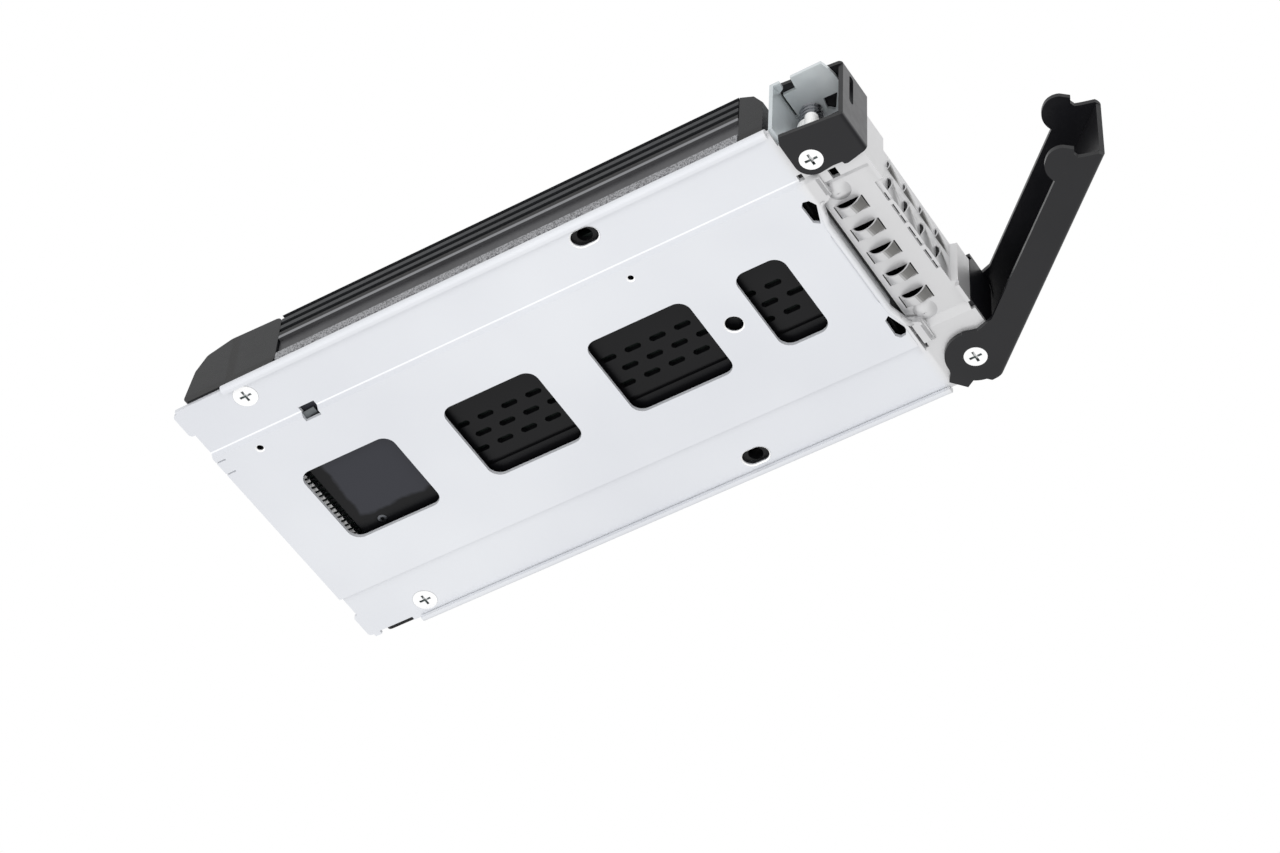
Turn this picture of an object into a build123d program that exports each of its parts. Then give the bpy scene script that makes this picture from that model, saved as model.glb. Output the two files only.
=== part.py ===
from build123d import *
from math import asin, atan2, cos, degrees, radians, sin, tan
import os

os.makedirs("parts", exist_ok=True)

# A hot swap drive caddy: a folded sheet-steel tray with a louvred front, a pivoting channel
# lever, a small sprung catch, and a finned 2.5-inch drive module screwed into it.
# Millimetres. +X runs from the connector end to the lever end with 0 at mid-length, +Y goes
# from the catch side to the lever side with 0 on the centre plane, +Z is up with 0 at the
# underside of the tray. The lever is drawn swung open.

# Tray sheet
TRAY_LENGTH = 146.1
SHEET = 0.8
PLATE_INSET = 0.575
HEM_OVERHANG = 0.375
HEM_BAND = 1.5
HEM_START = 11.5
HEM_SETBACK = 13.3
JOGGLE_AT = 22.0
JOGGLE_RUN = 0.7
REAR_TAB_LENGTH = 1.1
REAR_TAB_WIDTH = 6.0
REAR_TAB_INSET = 0.7
REAR_NOTCH_AT = 5.5
REAR_NOTCH_LENGTH = 8.0
REAR_NOTCH_DEPTH = 0.9
CORNER_CUT = 3.4

# Black steel of the lever and the catch
STRIP = 0.95
GROUND_GAP = 0.05
RUN_GAP = 0.07
MECH_HEIGHT = 16.8
TOP_GAP = 0.15

# Side strips of the tray lie this much higher than its centre strip, so that the black
# flanges turn under them and stay flush
RECESS = GROUND_GAP + STRIP + RUN_GAP

# Windows in the centre strip: rear edge and front edge as shares of the tray's length
WINDOW_SHARES = [(0.0821, 0.2286), (0.3101, 0.4545), (0.5339, 0.6872), (0.7577, 0.8296)]
WINDOW_WIDTH = 19.7
WINDOW_CORNER = 2.6
ROUND_HOLE_SHARE = 0.7221
ROUND_HOLE_RADIUS = 2.0
SMALL_HOLES = [(9.7, -19.3, 0.9), (94.5, -19.0, 0.8)]
LANCE_HOLE_AT = 23.4
LANCE_HOLE_LENGTH = 3.6
LANCE_HOLE_WIDTH = 3.0

# Screw positions
DRIVE_SCREW_AT = 14.4
DRIVE_SCREW_INSET = 4.065
ACCESS_SLOT_AT = 91.8
ACCESS_SLOT_LENGTH = 6.0
ACCESS_SLOT_WIDTH = 4.2

# Front of the tray, measured back from its front face
BEND_LIP_SETBACK = 13.7
BEND_LIP_HEIGHT = 3.6
BEND_LIP_RADIUS = 1.2
BEND_LIP_HALF = 11.6
BEND_LIP_CORNER = 15.8
BEND_LIP_END = 16.8
RAMP_SETBACK = 10.5
PANEL_SETBACK = 12.65
LOUVRE_WALL_SETBACK = 1.3
PANEL_LEVEL = 2.2
PANEL_HALF = 18.2
PANEL_RAMP = 1.4
WALL_HEIGHT = 13.4
TOP_FLANGE_LENGTH = 12.5
WALL_END_GAP = 0.6
WALL_STEP_CATCH = -15.0
WALL_STEP_LEVER = 13.0
INSULATOR = 0.3
INSULATOR_FOOT = 4.2

# Louvres
LOUVRE_PITCH = 6.03
LOUVRE_COUNT = 5
LOUVRE_FIRST = -13.1
LOUVRE_WIDTH = 3.15
LOUVRE_LENGTH = 6.0
LOUVRE_SETBACK = 11.6
LOUVRE_RISE = 2.1
LOUVRE_FAR_RISE = 1.5
LOUVRE_METAL = 0.35
LOUVRE_SLIT = 0.22
WALL_FOOT = 0.4
LOUVRE_CLOSING = 0.8
LOUVRE_FOOT = 0.4
FRONT_LOUVRE_FIRST = -11.2
FRONT_LOUVRE_COUNT = 4
FRONT_LOUVRE_WIDTH = 5.6
FRONT_RISE = 1.2
FRONT_METAL = 0.4
LOWER_ROW_TOP = 6.8
UPPER_ROW_BOTTOM = 9.2
UPPER_ROW_TOP = 12.0
SLIT_LENGTH = 5.0
SLIT_LEAD = 3.2
DIMPLE_RADIUS = 2.3
DIMPLE_HEIGHT = 1.05
DIMPLE_AT = 16.1
DIMPLE_SETBACK = 8.7

# Lever pivot and catch pivot
LEVER_PIVOT_SETBACK = 5.23
LEVER_PIVOT_INSET = 5.05
CATCH_PIVOT_SETBACK = 8.83
CATCH_PIVOT_INSET = 8.45
LEVER_OPEN_ANGLE = 48.1
LEVER_INNER = -0.2
LEVER_END_GAP = 0.7
LEVER_LOBE_LENGTH = 8.4
PIVOT_LOBE = 5.85
WEB_START = -2.5
FRONT_GAP = 0.2
FOLD_RADIUS = 0.9
CATCH_LOBE = 3.4
CATCH_WIDTH = 8.8
CATCH_REACH = 2.9
CATCH_SLOT_INSET = 3.0
CATCH_SLOT_WIDTH = 1.4
CATCH_SLOT_BOTTOM = 7.0
CATCH_SLOT_TOP = 15.0

# Pivot posts
POST_RADIUS = 1.7
POST_NECK_RADIUS = 1.2
POST_HEAD_RADIUS = 2.4
POST_HEAD_HEIGHT = 0.4
PIVOT_CLEARANCE = 0.05

# Hub and spring round the catch's post
HUB_RADIUS = 2.7
HUB_LOBE_REACH = 3.9
HUB_LOBE_RADIUS = 1.3
HUB_TOP = 9.4
SPRING_WIRE = 0.45
SPRING_RADIUS = 2.05
SPRING_TURNS = 5

# Fixed brackets that carry the upper ends of the posts
BRACKET_LENGTH = 11.8
BRACKET_SETBACK = 1.1
BRACKET_FOOT = 8.0
LEVER_PLATE_REACH = 11.3
LEVER_PLATE_INSET = 2.9
LEVER_PLATE_CORNER = 2.7
BRACKET_SIDE_GAP = 0.55

# Countersunk screws
DRIVE_HEAD_RADIUS = 2.5
PIVOT_HEAD_RADIUS = 2.25
SCREW_HEAD_HEIGHT = 0.75
DRIVE_SCREW_RADIUS = 1.5
PIVOT_SCREW_RADIUS = 1.0
SCREW_LENGTH = 5.0
THREAD_GAP = 0.05
CROSS_WIDTH = 0.55
CROSS_LENGTH = 2.6
CROSS_DEPTH = 0.7

# Drive module
MODULE_REAR = 1.9
MODULE_SETBACK = 13.9
MODULE_WIDTH = 69.85
MODULE_TOP = 15.9
MODULE_SEAT_GAP = 0.03
HOUSING_START = 24.0
FRONT_CAP_LENGTH = 5.2
HOUSING_TOP = 15.5
HOUSING_WALL = 3.4
HOUSING_CHAMFER = 0.5
CAP_GAP = 0.15
COVER_THICKNESS = 1.2
COVER_LIP = 3.525
COVER_GAP = 0.1
COVER_STEP_AT = 7.3
COVER_STEP_WIDTH = 1.0
COVER_STEP_DEPTH = 0.5
COVER_SCREW_AT = 18.9
COVER_SCREW_ACROSS = 9.05
COVER_SCREW_RADIUS = 1.0
SIDE_RECESS_BOTTOM = 4.2
SIDE_RECESS_TOP = 8.4
SIDE_RECESS_DEPTH = 0.7
SIDE_GROOVES = 3
SIDE_GROOVE_PITCH = 2.05
SIDE_GROOVE = 1.05
SIDE_GROOVE_DEPTH = 1.5
SIDE_GROOVE_BOTTOM = 10.3
TOP_GROOVES = 15
TOP_GROOVE_PITCH = 4.1
TOP_GROOVE_WIDTH = 2.2
TOP_GROOVE_DEPTH = 2.6
COVER_SLOT_LENGTH = 3.5
COVER_SLOT_WIDTH = 1.3
COVER_SLOT_PITCH = 5.5
COVER_ROW_PITCH = 3.5
COVER_SLOT_SHARES = (0.3819, 0.6112, 0.7844)
COVER_SLOT_COUNTS = (4, 4, 2)
BOARD_THICKNESS = 1.6
BOARD_GAP = 1.525
BOARD_REAR = 9.8
SCREW_BOSS = 2.4
BOARD_SETBACK = 6.0
CHIP_LENGTH = 18.0
CHIP_WIDTH = 13.0
CHIP_HEIGHT = 1.1
CHIP_COLUMNS = 4
CHIP_PITCH_X = 22.0
CHIP_PITCH_Y = 36.0
CHIP_EDGE = 1.5
CONTROLLER_SIZE = 19.0
CONTROLLER_AT = 33.0
CAPACITOR_AT = 19.5
CAPACITOR_PITCH = 7.5
PAD_HEIGHT = 1.0
CAPACITOR_COUNT = 6
CAPACITOR_SIZE = (7.3, 4.3, 2.8)
CONNECTOR_WIDTH = 33.4
CONNECTOR_REAR = 2.4
CONNECTOR_TOP = 8.4
CONNECTOR_MOUTH = 5.5
CONNECTOR_WALL = 1.0
TONGUE_THICKNESS = 1.6
PIN_COUNT = 24
PIN_PITCH = 1.27
PIN_WIDTH = 0.6
PIN_THICKNESS = 0.28
PIN_END = 13.1
CAP_FLOOR_OPENING = 13.6

# Where things lie, worked out from the sizes above
HALF_LENGTH = TRAY_LENGTH / 2
STRIP_TOP = RECESS + SHEET
BRACKET_FRONT = TRAY_LENGTH - BRACKET_SETBACK
BRACKET_REAR = BRACKET_FRONT - BRACKET_LENGTH
TOP_FLANGE_REAR = TRAY_LENGTH - TOP_FLANGE_LENGTH
HEM_END = TRAY_LENGTH - HEM_SETBACK
MODULE_FRONT = TRAY_LENGTH - MODULE_SETBACK
HOUSING_END = MODULE_FRONT - FRONT_CAP_LENGTH
BOARD_FRONT = HOUSING_END - BOARD_SETBACK
WINDOWS = [(rear * TRAY_LENGTH, front * TRAY_LENGTH) for rear, front in WINDOW_SHARES]
DRIVE_SCREW_SPACING = MODULE_WIDTH - 2 * DRIVE_SCREW_INSET
PLATE_WIDTH = MODULE_WIDTH - 2 * PLATE_INSET
HEM_WIDTH_OVERALL = MODULE_WIDTH + 2 * HEM_OVERHANG
LEVER_PIVOT = (TRAY_LENGTH - LEVER_PIVOT_SETBACK, PLATE_WIDTH / 2 - LEVER_PIVOT_INSET)
CATCH_PIVOT = (TRAY_LENGTH - CATCH_PIVOT_SETBACK, CATCH_PIVOT_INSET - PLATE_WIDTH / 2)
CATCH_INNER = CATCH_PIVOT[1] + CATCH_REACH
CATCH_OUTER = CATCH_INNER - CATCH_WIDTH
LEVER_LENGTH = LEVER_PIVOT[1] - CATCH_INNER - LEVER_END_GAP
NECK_AT = LEVER_LENGTH - LEVER_LOBE_LENGTH
WALL_CATCH_END = CATCH_INNER + WALL_END_GAP
LEVER_PLATE_START = LEVER_PIVOT[1] - LEVER_PLATE_REACH
LEVER_PLATE_END = LEVER_PIVOT[1] - LEVER_PLATE_INSET
WALL_LEVER_END = LEVER_PLATE_START - WALL_END_GAP / 2
BRACKET_SIDE = MODULE_WIDTH / 2 - BRACKET_SIDE_GAP
MODULE_BOTTOM = STRIP_TOP + MODULE_SEAT_GAP
CAVITY_FLOOR = MODULE_BOTTOM + COVER_THICKNESS
BOARD_BOTTOM = CAVITY_FLOOR + MODULE_SEAT_GAP
BOARD_TOP = BOARD_BOTTOM + BOARD_THICKNESS
CHIP_TOP = BOARD_TOP + CHIP_HEIGHT
CAVITY_TOP = CHIP_TOP + PAD_HEIGHT + MODULE_SEAT_GAP
CAVITY_WIDTH = MODULE_WIDTH - 2 * HOUSING_WALL
COVER_WIDTH = CAVITY_WIDTH - 2 * COVER_LIP
BOARD_WIDTH = CAVITY_WIDTH - 2 * BOARD_GAP
BOSS_WIDTH = DRIVE_SCREW_SPACING - 2 * SCREW_BOSS
LEVER_DEPTH = TRAY_LENGTH - LEVER_PIVOT[0] + FRONT_GAP + STRIP
FLANGE_TOP = GROUND_GAP + STRIP
UPPER_FLANGE = MECH_HEIGHT - STRIP
SHELF_TOP = UPPER_FLANGE - TOP_GAP
SHELF_BOTTOM = SHELF_TOP - SHEET
WALL_X = HALF_LENGTH - LOUVRE_WALL_SETBACK
PANEL_REAR = HALF_LENGTH - PANEL_SETBACK
LIP_X = HALF_LENGTH - BEND_LIP_SETBACK
HEAD_ANGLE = 2 * degrees(atan2(DRIVE_HEAD_RADIUS - DRIVE_SCREW_RADIUS, SCREW_HEAD_HEIGHT))


def at(distance):
    """X of a place measured forward from the tray's rear edge."""
    return distance - HALF_LENGTH


def miter(run, rise, thickness):
    """How far a sheet's upper corner lies behind its lower one at a joggle."""
    return thickness * tan(atan2(rise, run) / 2)


LEVER_X, LEVER_Y = at(LEVER_PIVOT[0]), LEVER_PIVOT[1]
CATCH_X, CATCH_Y = at(CATCH_PIVOT[0]), CATCH_PIVOT[1]
CATCH_FRONT = LEVER_X + LEVER_DEPTH
HEAD_TAPER = (PIVOT_HEAD_RADIUS - PIVOT_SCREW_RADIUS) / SCREW_HEAD_HEIGHT
LEVER_DIRECTION = (sin(radians(LEVER_OPEN_ANGLE)), -cos(radians(LEVER_OPEN_ANGLE)), 0)


def lever_plane(height):
    """Local X runs from the pivot to the free end, local Y towards the lever's web."""
    return Plane(origin=(LEVER_X, LEVER_Y, height), x_dir=LEVER_DIRECTION, z_dir=(0, 0, 1))


def sheet_section(half_width):
    """Half the tray's cross-section without a hem, centre strip low and side strip high."""
    back = miter(JOGGLE_RUN, RECESS, SHEET)
    low, high = JOGGLE_AT - JOGGLE_RUN / 2, JOGGLE_AT + JOGGLE_RUN / 2
    return [(0, 0), (low, 0), (high, RECESS), (half_width, RECESS), (half_width, STRIP_TOP),
            (high - back, STRIP_TOP), (low - back, SHEET), (0, SHEET)]


def panel_louvre_starts():
    return [LOUVRE_FIRST + index * LOUVRE_PITCH for index in range(LOUVRE_COUNT)]


def wall_louvre_starts():
    return [FRONT_LOUVRE_FIRST + index * LOUVRE_PITCH for index in range(FRONT_LOUVRE_COUNT)]


def wall_louvre_rows():
    """Bottom, top and rise of the wall's two rows."""
    return ((PANEL_LEVEL + WALL_FOOT, LOWER_ROW_TOP, FRONT_RISE),
            (UPPER_ROW_BOTTOM, UPPER_ROW_TOP, 0.6 * FRONT_RISE))


def strip_section(start, crown, end, start_back, crown_back, end_back):
    """Outline of a bowed strip of sheet: its face is an arc, and so is its back."""
    return Wire([Edge.make_three_point_arc(start, crown, end), Edge.make_line(end, end_back),
                 Edge.make_three_point_arc(end_back, crown_back, start_back),
                 Edge.make_line(start_back, start)])


def panel_louvre(first):
    """A strip that bows down out of the panel, open on its first side and closed on the other."""
    rear = HALF_LENGTH - LOUVRE_SETBACK + LOUVRE_SLIT
    ahead = HALF_LENGTH - LOUVRE_SETBACK + LOUVRE_LENGTH - LOUVRE_SLIT
    middle = (rear + ahead) / 2
    back = PANEL_LEVEL + SHEET
    closed = first + LOUVRE_WIDTH + 0.02
    sections = []
    for place, rise, foot in ((first, LOUVRE_RISE, LOUVRE_FOOT),
                              (closed - LOUVRE_CLOSING, LOUVRE_FAR_RISE, LOUVRE_FOOT),
                              (closed, 0.02, 0)):
        crown = PANEL_LEVEL - rise
        sections.append(strip_section(
            (rear, place, PANEL_LEVEL), (middle, place, crown), (ahead, place, PANEL_LEVEL),
            (rear + foot, place, back), (middle, place, crown + LOUVRE_METAL),
            (ahead - foot, place, back)))
    return Solid.make_loft(sections, True)


def wall_louvre(first, bottom, top, rise):
    """A strip that bows forward out of the wall, free on its first side and flush on the other."""
    middle = (bottom + top) / 2
    inside = WALL_X - SHEET + 0.25
    sections = []
    for place, height in ((first, rise), (first + FRONT_LOUVRE_WIDTH + 0.02, 0.02)):
        sections.append(strip_section(
            (WALL_X, place, bottom), (WALL_X + height, place, middle), (WALL_X, place, top),
            (inside, place, bottom), (WALL_X + height - FRONT_METAL, place, middle),
            (inside, place, top)))
    return Solid.make_loft(sections, True)


def make_tray():
    back = miter(JOGGLE_RUN, RECESS, SHEET)
    low, high = JOGGLE_AT - JOGGLE_RUN / 2, JOGGLE_AT + JOGGLE_RUN / 2
    bend_y = HEM_WIDTH_OVERALL / 2 - STRIP_TOP / 2
    inner_y = HEM_WIDTH_OVERALL / 2 - HEM_BAND
    plate_half = PLATE_WIDTH / 2
    ramp_x = HALF_LENGTH - RAMP_SETBACK
    ramp_end = ramp_x + JOGGLE_RUN
    strips = [panel_louvre(start) for start in panel_louvre_starts()]
    for bottom, top, rise in wall_louvre_rows():
        strips += [wall_louvre(start, bottom, top, rise) for start in wall_louvre_starts()]
    with BuildPart() as tray:
        # Hemmed length, with both edges folded under
        with BuildSketch(Plane.YZ.offset(at(HEM_START))):
            with BuildLine():
                Polyline((0, 0), (low, 0), (high, RECESS), (bend_y, RECESS))
                ThreePointArc((bend_y, RECESS), (bend_y + (RECESS - SHEET) / 2, STRIP_TOP / 2),
                              (bend_y, SHEET))
                Polyline((bend_y, SHEET), (inner_y, SHEET), (inner_y, 0), (bend_y, 0))
                ThreePointArc((bend_y, 0), (HEM_WIDTH_OVERALL / 2, STRIP_TOP / 2),
                              (bend_y, STRIP_TOP))
                Polyline((bend_y, STRIP_TOP), (high - back, STRIP_TOP), (low - back, SHEET),
                         (0, SHEET), (0, 0))
            make_face()
            mirror(about=Plane.YZ)
        extrude(amount=HEM_END - HEM_START)

        # Rear end and the stretch ahead of the hems
        with BuildSketch(Plane.YZ.offset(at(0))):
            with BuildLine():
                Polyline(*sheet_section(plate_half), close=True)
            make_face()
            mirror(about=Plane.YZ)
        extrude(amount=HEM_START)
        with BuildSketch(Plane.YZ.offset(at(HEM_END))):
            with BuildLine():
                Polyline(*sheet_section(plate_half), close=True)
            make_face()
            mirror(about=Plane.YZ)
        extrude(amount=ramp_end - at(HEM_END))

        # Tabs at the rear corners
        with BuildSketch(Plane.XY.offset(RECESS)):
            for side in (-1, 1):
                with Locations((at(0), side * (plate_half - REAR_TAB_INSET - REAR_TAB_WIDTH / 2))):
                    Rectangle(2 * REAR_TAB_LENGTH, REAR_TAB_WIDTH)
            fillet(vertices(), 0.8)
        extrude(amount=SHEET)

        # Front floor at the level of the side strips, cut back at its corners
        front = HALF_LENGTH
        with BuildSketch(Plane.XY.offset(RECESS)):
            with BuildLine():
                Polyline((ramp_end, CORNER_CUT - plate_half), (ramp_end + 7.5, 3.8 - plate_half),
                         (front - 1.4, WALL_CATCH_END - 4.5), (front - 1.4, WALL_CATCH_END),
                         (front, WALL_CATCH_END), (front, WALL_LEVER_END + 1.4),
                         (front, LEVER_PLATE_END - 2.4), (front - 1.6, LEVER_PLATE_END),
                         (front - 1.8, plate_half - 3.8), (ramp_end, plate_half - 0.6), close=True)
            make_face()
        extrude(amount=SHEET)
        with BuildSketch(Plane.XY.offset(-1)):
            with Locations((ramp_end - 1.5, CORNER_CUT / 2 - plate_half - 1)):
                Rectangle(3.2, CORNER_CUT + 2)
        extrude(amount=4, mode=Mode.SUBTRACT)

        # Ramp up from the centre strip to the front floor
        with Locations((ramp_x + JOGGLE_RUN / 2, 0, 0)):
            Box(JOGGLE_RUN, 2 * low, 1.9 * SHEET, mode=Mode.SUBTRACT)
        ramp_back = miter(JOGGLE_RUN, RECESS, SHEET)
        with BuildSketch(Plane.XZ.offset(-low)):
            with BuildLine():
                Polyline((ramp_x, 0), (ramp_end, RECESS), (ramp_end + 0.1, STRIP_TOP),
                         (ramp_end - ramp_back, STRIP_TOP), (ramp_x - ramp_back, SHEET),
                         close=True)
            make_face()
        extrude(amount=2 * low)

        # Room for the sunken louvre panel, and the bent lip behind it
        with BuildSketch(Plane.XY.offset(-1)):
            with BuildLine():
                Polyline((LIP_X, -BEND_LIP_HALF), (LIP_X + 1.2, -BEND_LIP_CORNER),
                         (ramp_end + 0.2, -BEND_LIP_END), (ramp_end + 0.2, BEND_LIP_END),
                         (LIP_X + 1.2, BEND_LIP_CORNER), (LIP_X, BEND_LIP_HALF), close=True)
            make_face()
        extrude(amount=1 + RECESS, mode=Mode.SUBTRACT)
        with BuildSketch(Plane.XY.offset(0.3)):
            with Locations(((ramp_end + front + 1) / 2, 0)):
                Rectangle(front + 1 - ramp_end, 2 * (PANEL_HALF + PANEL_RAMP))
            with Locations(((LIP_X + ramp_end) / 2, 0)):
                Rectangle(ramp_end - LIP_X, 2 * BEND_LIP_END)
        extrude(amount=STRIP_TOP, mode=Mode.SUBTRACT)
        with BuildSketch(Plane.XY):
            with BuildLine():
                Polyline((LIP_X, -BEND_LIP_HALF), (LIP_X, BEND_LIP_HALF),
                         (LIP_X - SHEET, BEND_LIP_HALF), (LIP_X - SHEET, -BEND_LIP_HALF),
                         close=True)
            make_face()
        extrude(amount=BEND_LIP_HEIGHT)
        with BuildSketch(Plane.XY):
            for side in (-1, 1):
                with BuildLine():
                    Polyline((LIP_X, side * BEND_LIP_HALF), (LIP_X + 1.2, side * BEND_LIP_CORNER),
                             (ramp_end - 0.3, side * BEND_LIP_END),
                             (ramp_end - 0.3, side * (BEND_LIP_END + SHEET)),
                             (LIP_X + 0.7, side * (BEND_LIP_CORNER + 0.7)),
                             (LIP_X - SHEET, side * BEND_LIP_HALF), close=True)
                make_face()
        extrude(amount=STRIP_TOP)
        lip_edges = tray.edges().filter_by(Axis.Y).filter_by_position(Axis.Z, -0.01, 0.01)
        fillet(lip_edges.filter_by_position(Axis.X, LIP_X - 0.01, LIP_X + 0.01), BEND_LIP_RADIUS)

        # Relief holes beside the lip, and the slot with its standing tab
        with BuildSketch(Plane.XY.offset(-1)):
            for side in (-1, 1):
                with BuildLine():
                    Polyline((LIP_X - 2.0, side * 13.3), (LIP_X - 0.9, side * 12.5),
                             (LIP_X + 0.6, side * 16.6), (LIP_X - 0.2, side * 18.1),
                             (LIP_X - 1.4, side * 18.3), (LIP_X - 2.1, side * 17.4), close=True)
                make_face()
            with Locations((LIP_X + 1.1, 20.0)):
                Rectangle(1.3, 7.0)
            with Locations((LIP_X + 0.8, -22.8)):
                Rectangle(1.1, 1.3)
        extrude(amount=4, mode=Mode.SUBTRACT)
        with BuildSketch(Plane.XY.offset(0.1)):
            with Locations((LIP_X + 0.75, 20.0)):
                Rectangle(0.7, 7.0)
        extrude(amount=3.2)

        # Louvre panel, sunk so that its bridges stay inside the tray's depth
        panel_back = miter(PANEL_RAMP, PANEL_LEVEL - RECESS, SHEET)
        edge = PANEL_HALF + PANEL_RAMP
        with BuildSketch(Plane.YZ.offset(PANEL_REAR)):
            with BuildLine():
                Polyline((0, PANEL_LEVEL), (PANEL_HALF, PANEL_LEVEL), (edge, RECESS),
                         (edge + 0.1, RECESS), (edge + 0.1, STRIP_TOP),
                         (edge + panel_back, STRIP_TOP), (PANEL_HALF + panel_back,
                         PANEL_LEVEL + SHEET), (0, PANEL_LEVEL + SHEET), close=True)
            make_face()
            mirror(about=Plane.YZ)
        extrude(amount=front - SHEET - PANEL_REAR)
        with Locations((WALL_X + 1.5, (WALL_STEP_CATCH + WALL_STEP_LEVER) / 2, PANEL_LEVEL)):
            Box(3, WALL_STEP_LEVER - WALL_STEP_CATCH, 3, mode=Mode.SUBTRACT)

        # Upright front wall, stepped back where it carries its louvres, and its top flange
        outer = [(front, WALL_CATCH_END), (front, WALL_STEP_CATCH), (WALL_X, WALL_STEP_CATCH + 0.4),
                 (WALL_X, WALL_STEP_LEVER - 0.4), (front, WALL_STEP_LEVER), (front, WALL_LEVER_END)]
        inner = [(front - SHEET, WALL_LEVER_END), (front - SHEET, WALL_STEP_LEVER + 0.5),
                 (WALL_X - SHEET, WALL_STEP_LEVER + 0.1), (WALL_X - SHEET, WALL_STEP_CATCH - 0.1),
                 (front - SHEET, WALL_STEP_CATCH - 0.5), (front - SHEET, WALL_CATCH_END)]
        with BuildSketch(Plane.XY.offset(PANEL_LEVEL)):
            with BuildLine():
                Polyline(*outer, *inner, close=True)
            make_face()
        extrude(amount=WALL_HEIGHT - PANEL_LEVEL)
        with BuildSketch(Plane.XY.offset(WALL_HEIGHT - SHEET)):
            with BuildLine():
                Polyline(*outer, (at(TOP_FLANGE_REAR), WALL_LEVER_END),
                         (at(TOP_FLANGE_REAR), WALL_CATCH_END), close=True)
            make_face()
        extrude(amount=SHEET)
        with BuildSketch(Plane.XY.offset(RECESS)):
            for start, end in ((WALL_CATCH_END, WALL_STEP_CATCH - 0.3),
                               (WALL_STEP_LEVER + 0.3, WALL_LEVER_END)):
                with Locations((front - SHEET / 2, (start + end) / 2)):
                    Rectangle(SHEET, end - start)
        extrude(amount=PANEL_LEVEL + SHEET - RECESS)

        # Windows, holes and slots
        with BuildSketch(Plane.XY.offset(-1)):
            for rear, ahead in WINDOWS:
                with Locations((at((rear + ahead) / 2), 0)):
                    RectangleRounded(ahead - rear, WINDOW_WIDTH, WINDOW_CORNER)
            with Locations((at(ROUND_HOLE_SHARE * TRAY_LENGTH), 0)):
                Circle(ROUND_HOLE_RADIUS)
            for distance, across, radius in SMALL_HOLES:
                with Locations((at(distance), across)):
                    Circle(radius)
            with Locations((at(LANCE_HOLE_AT), -JOGGLE_AT)):
                Rectangle(LANCE_HOLE_LENGTH, LANCE_HOLE_WIDTH)
            for side in (-1, 1):
                with Locations((at(ACCESS_SLOT_AT), side * DRIVE_SCREW_SPACING / 2)):
                    SlotOverall(ACCESS_SLOT_LENGTH, ACCESS_SLOT_WIDTH)
            with Locations((CATCH_X + 1.73, CATCH_INNER + 2.4)):
                Rectangle(1.6, 2.2)
            with Locations((at(REAR_NOTCH_AT), plate_half)):
                Rectangle(REAR_NOTCH_LENGTH, 2 * REAR_NOTCH_DEPTH)
            with Locations((at(1.0), -20.4), (at(1.0), -17.0)):
                Rectangle(2.4, 0.35)
        extrude(amount=4, mode=Mode.SUBTRACT)
        for side in (-1, 1):
            with Locations(Location((at(DRIVE_SCREW_AT), side * DRIVE_SCREW_SPACING / 2, RECESS),
                                    (180, 0, 0))):
                CounterSinkHole(DRIVE_SCREW_RADIUS + 0.1, DRIVE_HEAD_RADIUS + 0.1, depth=2 * SHEET,
                                counter_sink_angle=HEAD_ANGLE)
        for x, y in ((LEVER_X, LEVER_Y), (CATCH_X, CATCH_Y)):
            with Locations((x, y, RECESS)):
                Hole(PIVOT_SCREW_RADIUS + 0.1, depth=2 * SHEET)

        # Louvres of the panel and of the wall, each standing out of its own cut
        with BuildSketch(Plane.XY.offset(PANEL_LEVEL - 0.2)):
            for start in panel_louvre_starts():
                with Locations((HALF_LENGTH - LOUVRE_SETBACK + LOUVRE_LENGTH / 2,
                                start + LOUVRE_WIDTH / 2)):
                    Rectangle(LOUVRE_LENGTH, LOUVRE_WIDTH)
        extrude(amount=SHEET + 0.4, mode=Mode.SUBTRACT)
        with BuildSketch(Plane.YZ.offset(WALL_X - SHEET)):
            for bottom, top, _ in wall_louvre_rows():
                for start in wall_louvre_starts():
                    with Locations((start + FRONT_LOUVRE_WIDTH / 2, (bottom + top) / 2)):
                        Rectangle(FRONT_LOUVRE_WIDTH, top - bottom)
        extrude(amount=SHEET + 0.2, mode=Mode.SUBTRACT)
        add(strips)

        # Slits through the foot of the upright wall, one under the start of each louvre
        with BuildSketch(Plane.XY.offset(PANEL_LEVEL - 0.1)):
            for start in wall_louvre_starts():
                with Locations((WALL_X - SHEET / 2, start - SLIT_LEAD + SLIT_LENGTH / 2)):
                    Rectangle(SHEET + 0.2, SLIT_LENGTH)
        extrude(amount=WALL_FOOT + 0.1, mode=Mode.SUBTRACT)

        # Round dimples at both ends of the panel
        ball = (DIMPLE_RADIUS ** 2 + DIMPLE_HEIGHT ** 2) / (2 * DIMPLE_HEIGHT)
        part_way = asin(DIMPLE_RADIUS / ball) / 2
        shoulder = (ball * sin(part_way), ball - DIMPLE_HEIGHT - ball * cos(part_way))
        for side in (-1, 1):
            with BuildSketch(Plane(origin=(HALF_LENGTH - DIMPLE_SETBACK, side * DIMPLE_AT, PANEL_LEVEL),
                                   x_dir=(1, 0, 0), z_dir=(0, -1, 0))):
                with BuildLine():
                    Line((0, 0), (DIMPLE_RADIUS, 0))
                    ThreePointArc((DIMPLE_RADIUS, 0), shoulder, (0, -DIMPLE_HEIGHT))
                    Line((0, -DIMPLE_HEIGHT), (0, 0))
                make_face()
            revolve(axis=Axis((HALF_LENGTH - DIMPLE_SETBACK, side * DIMPLE_AT, 0), (0, 0, 1)))
    return tray.part


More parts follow.
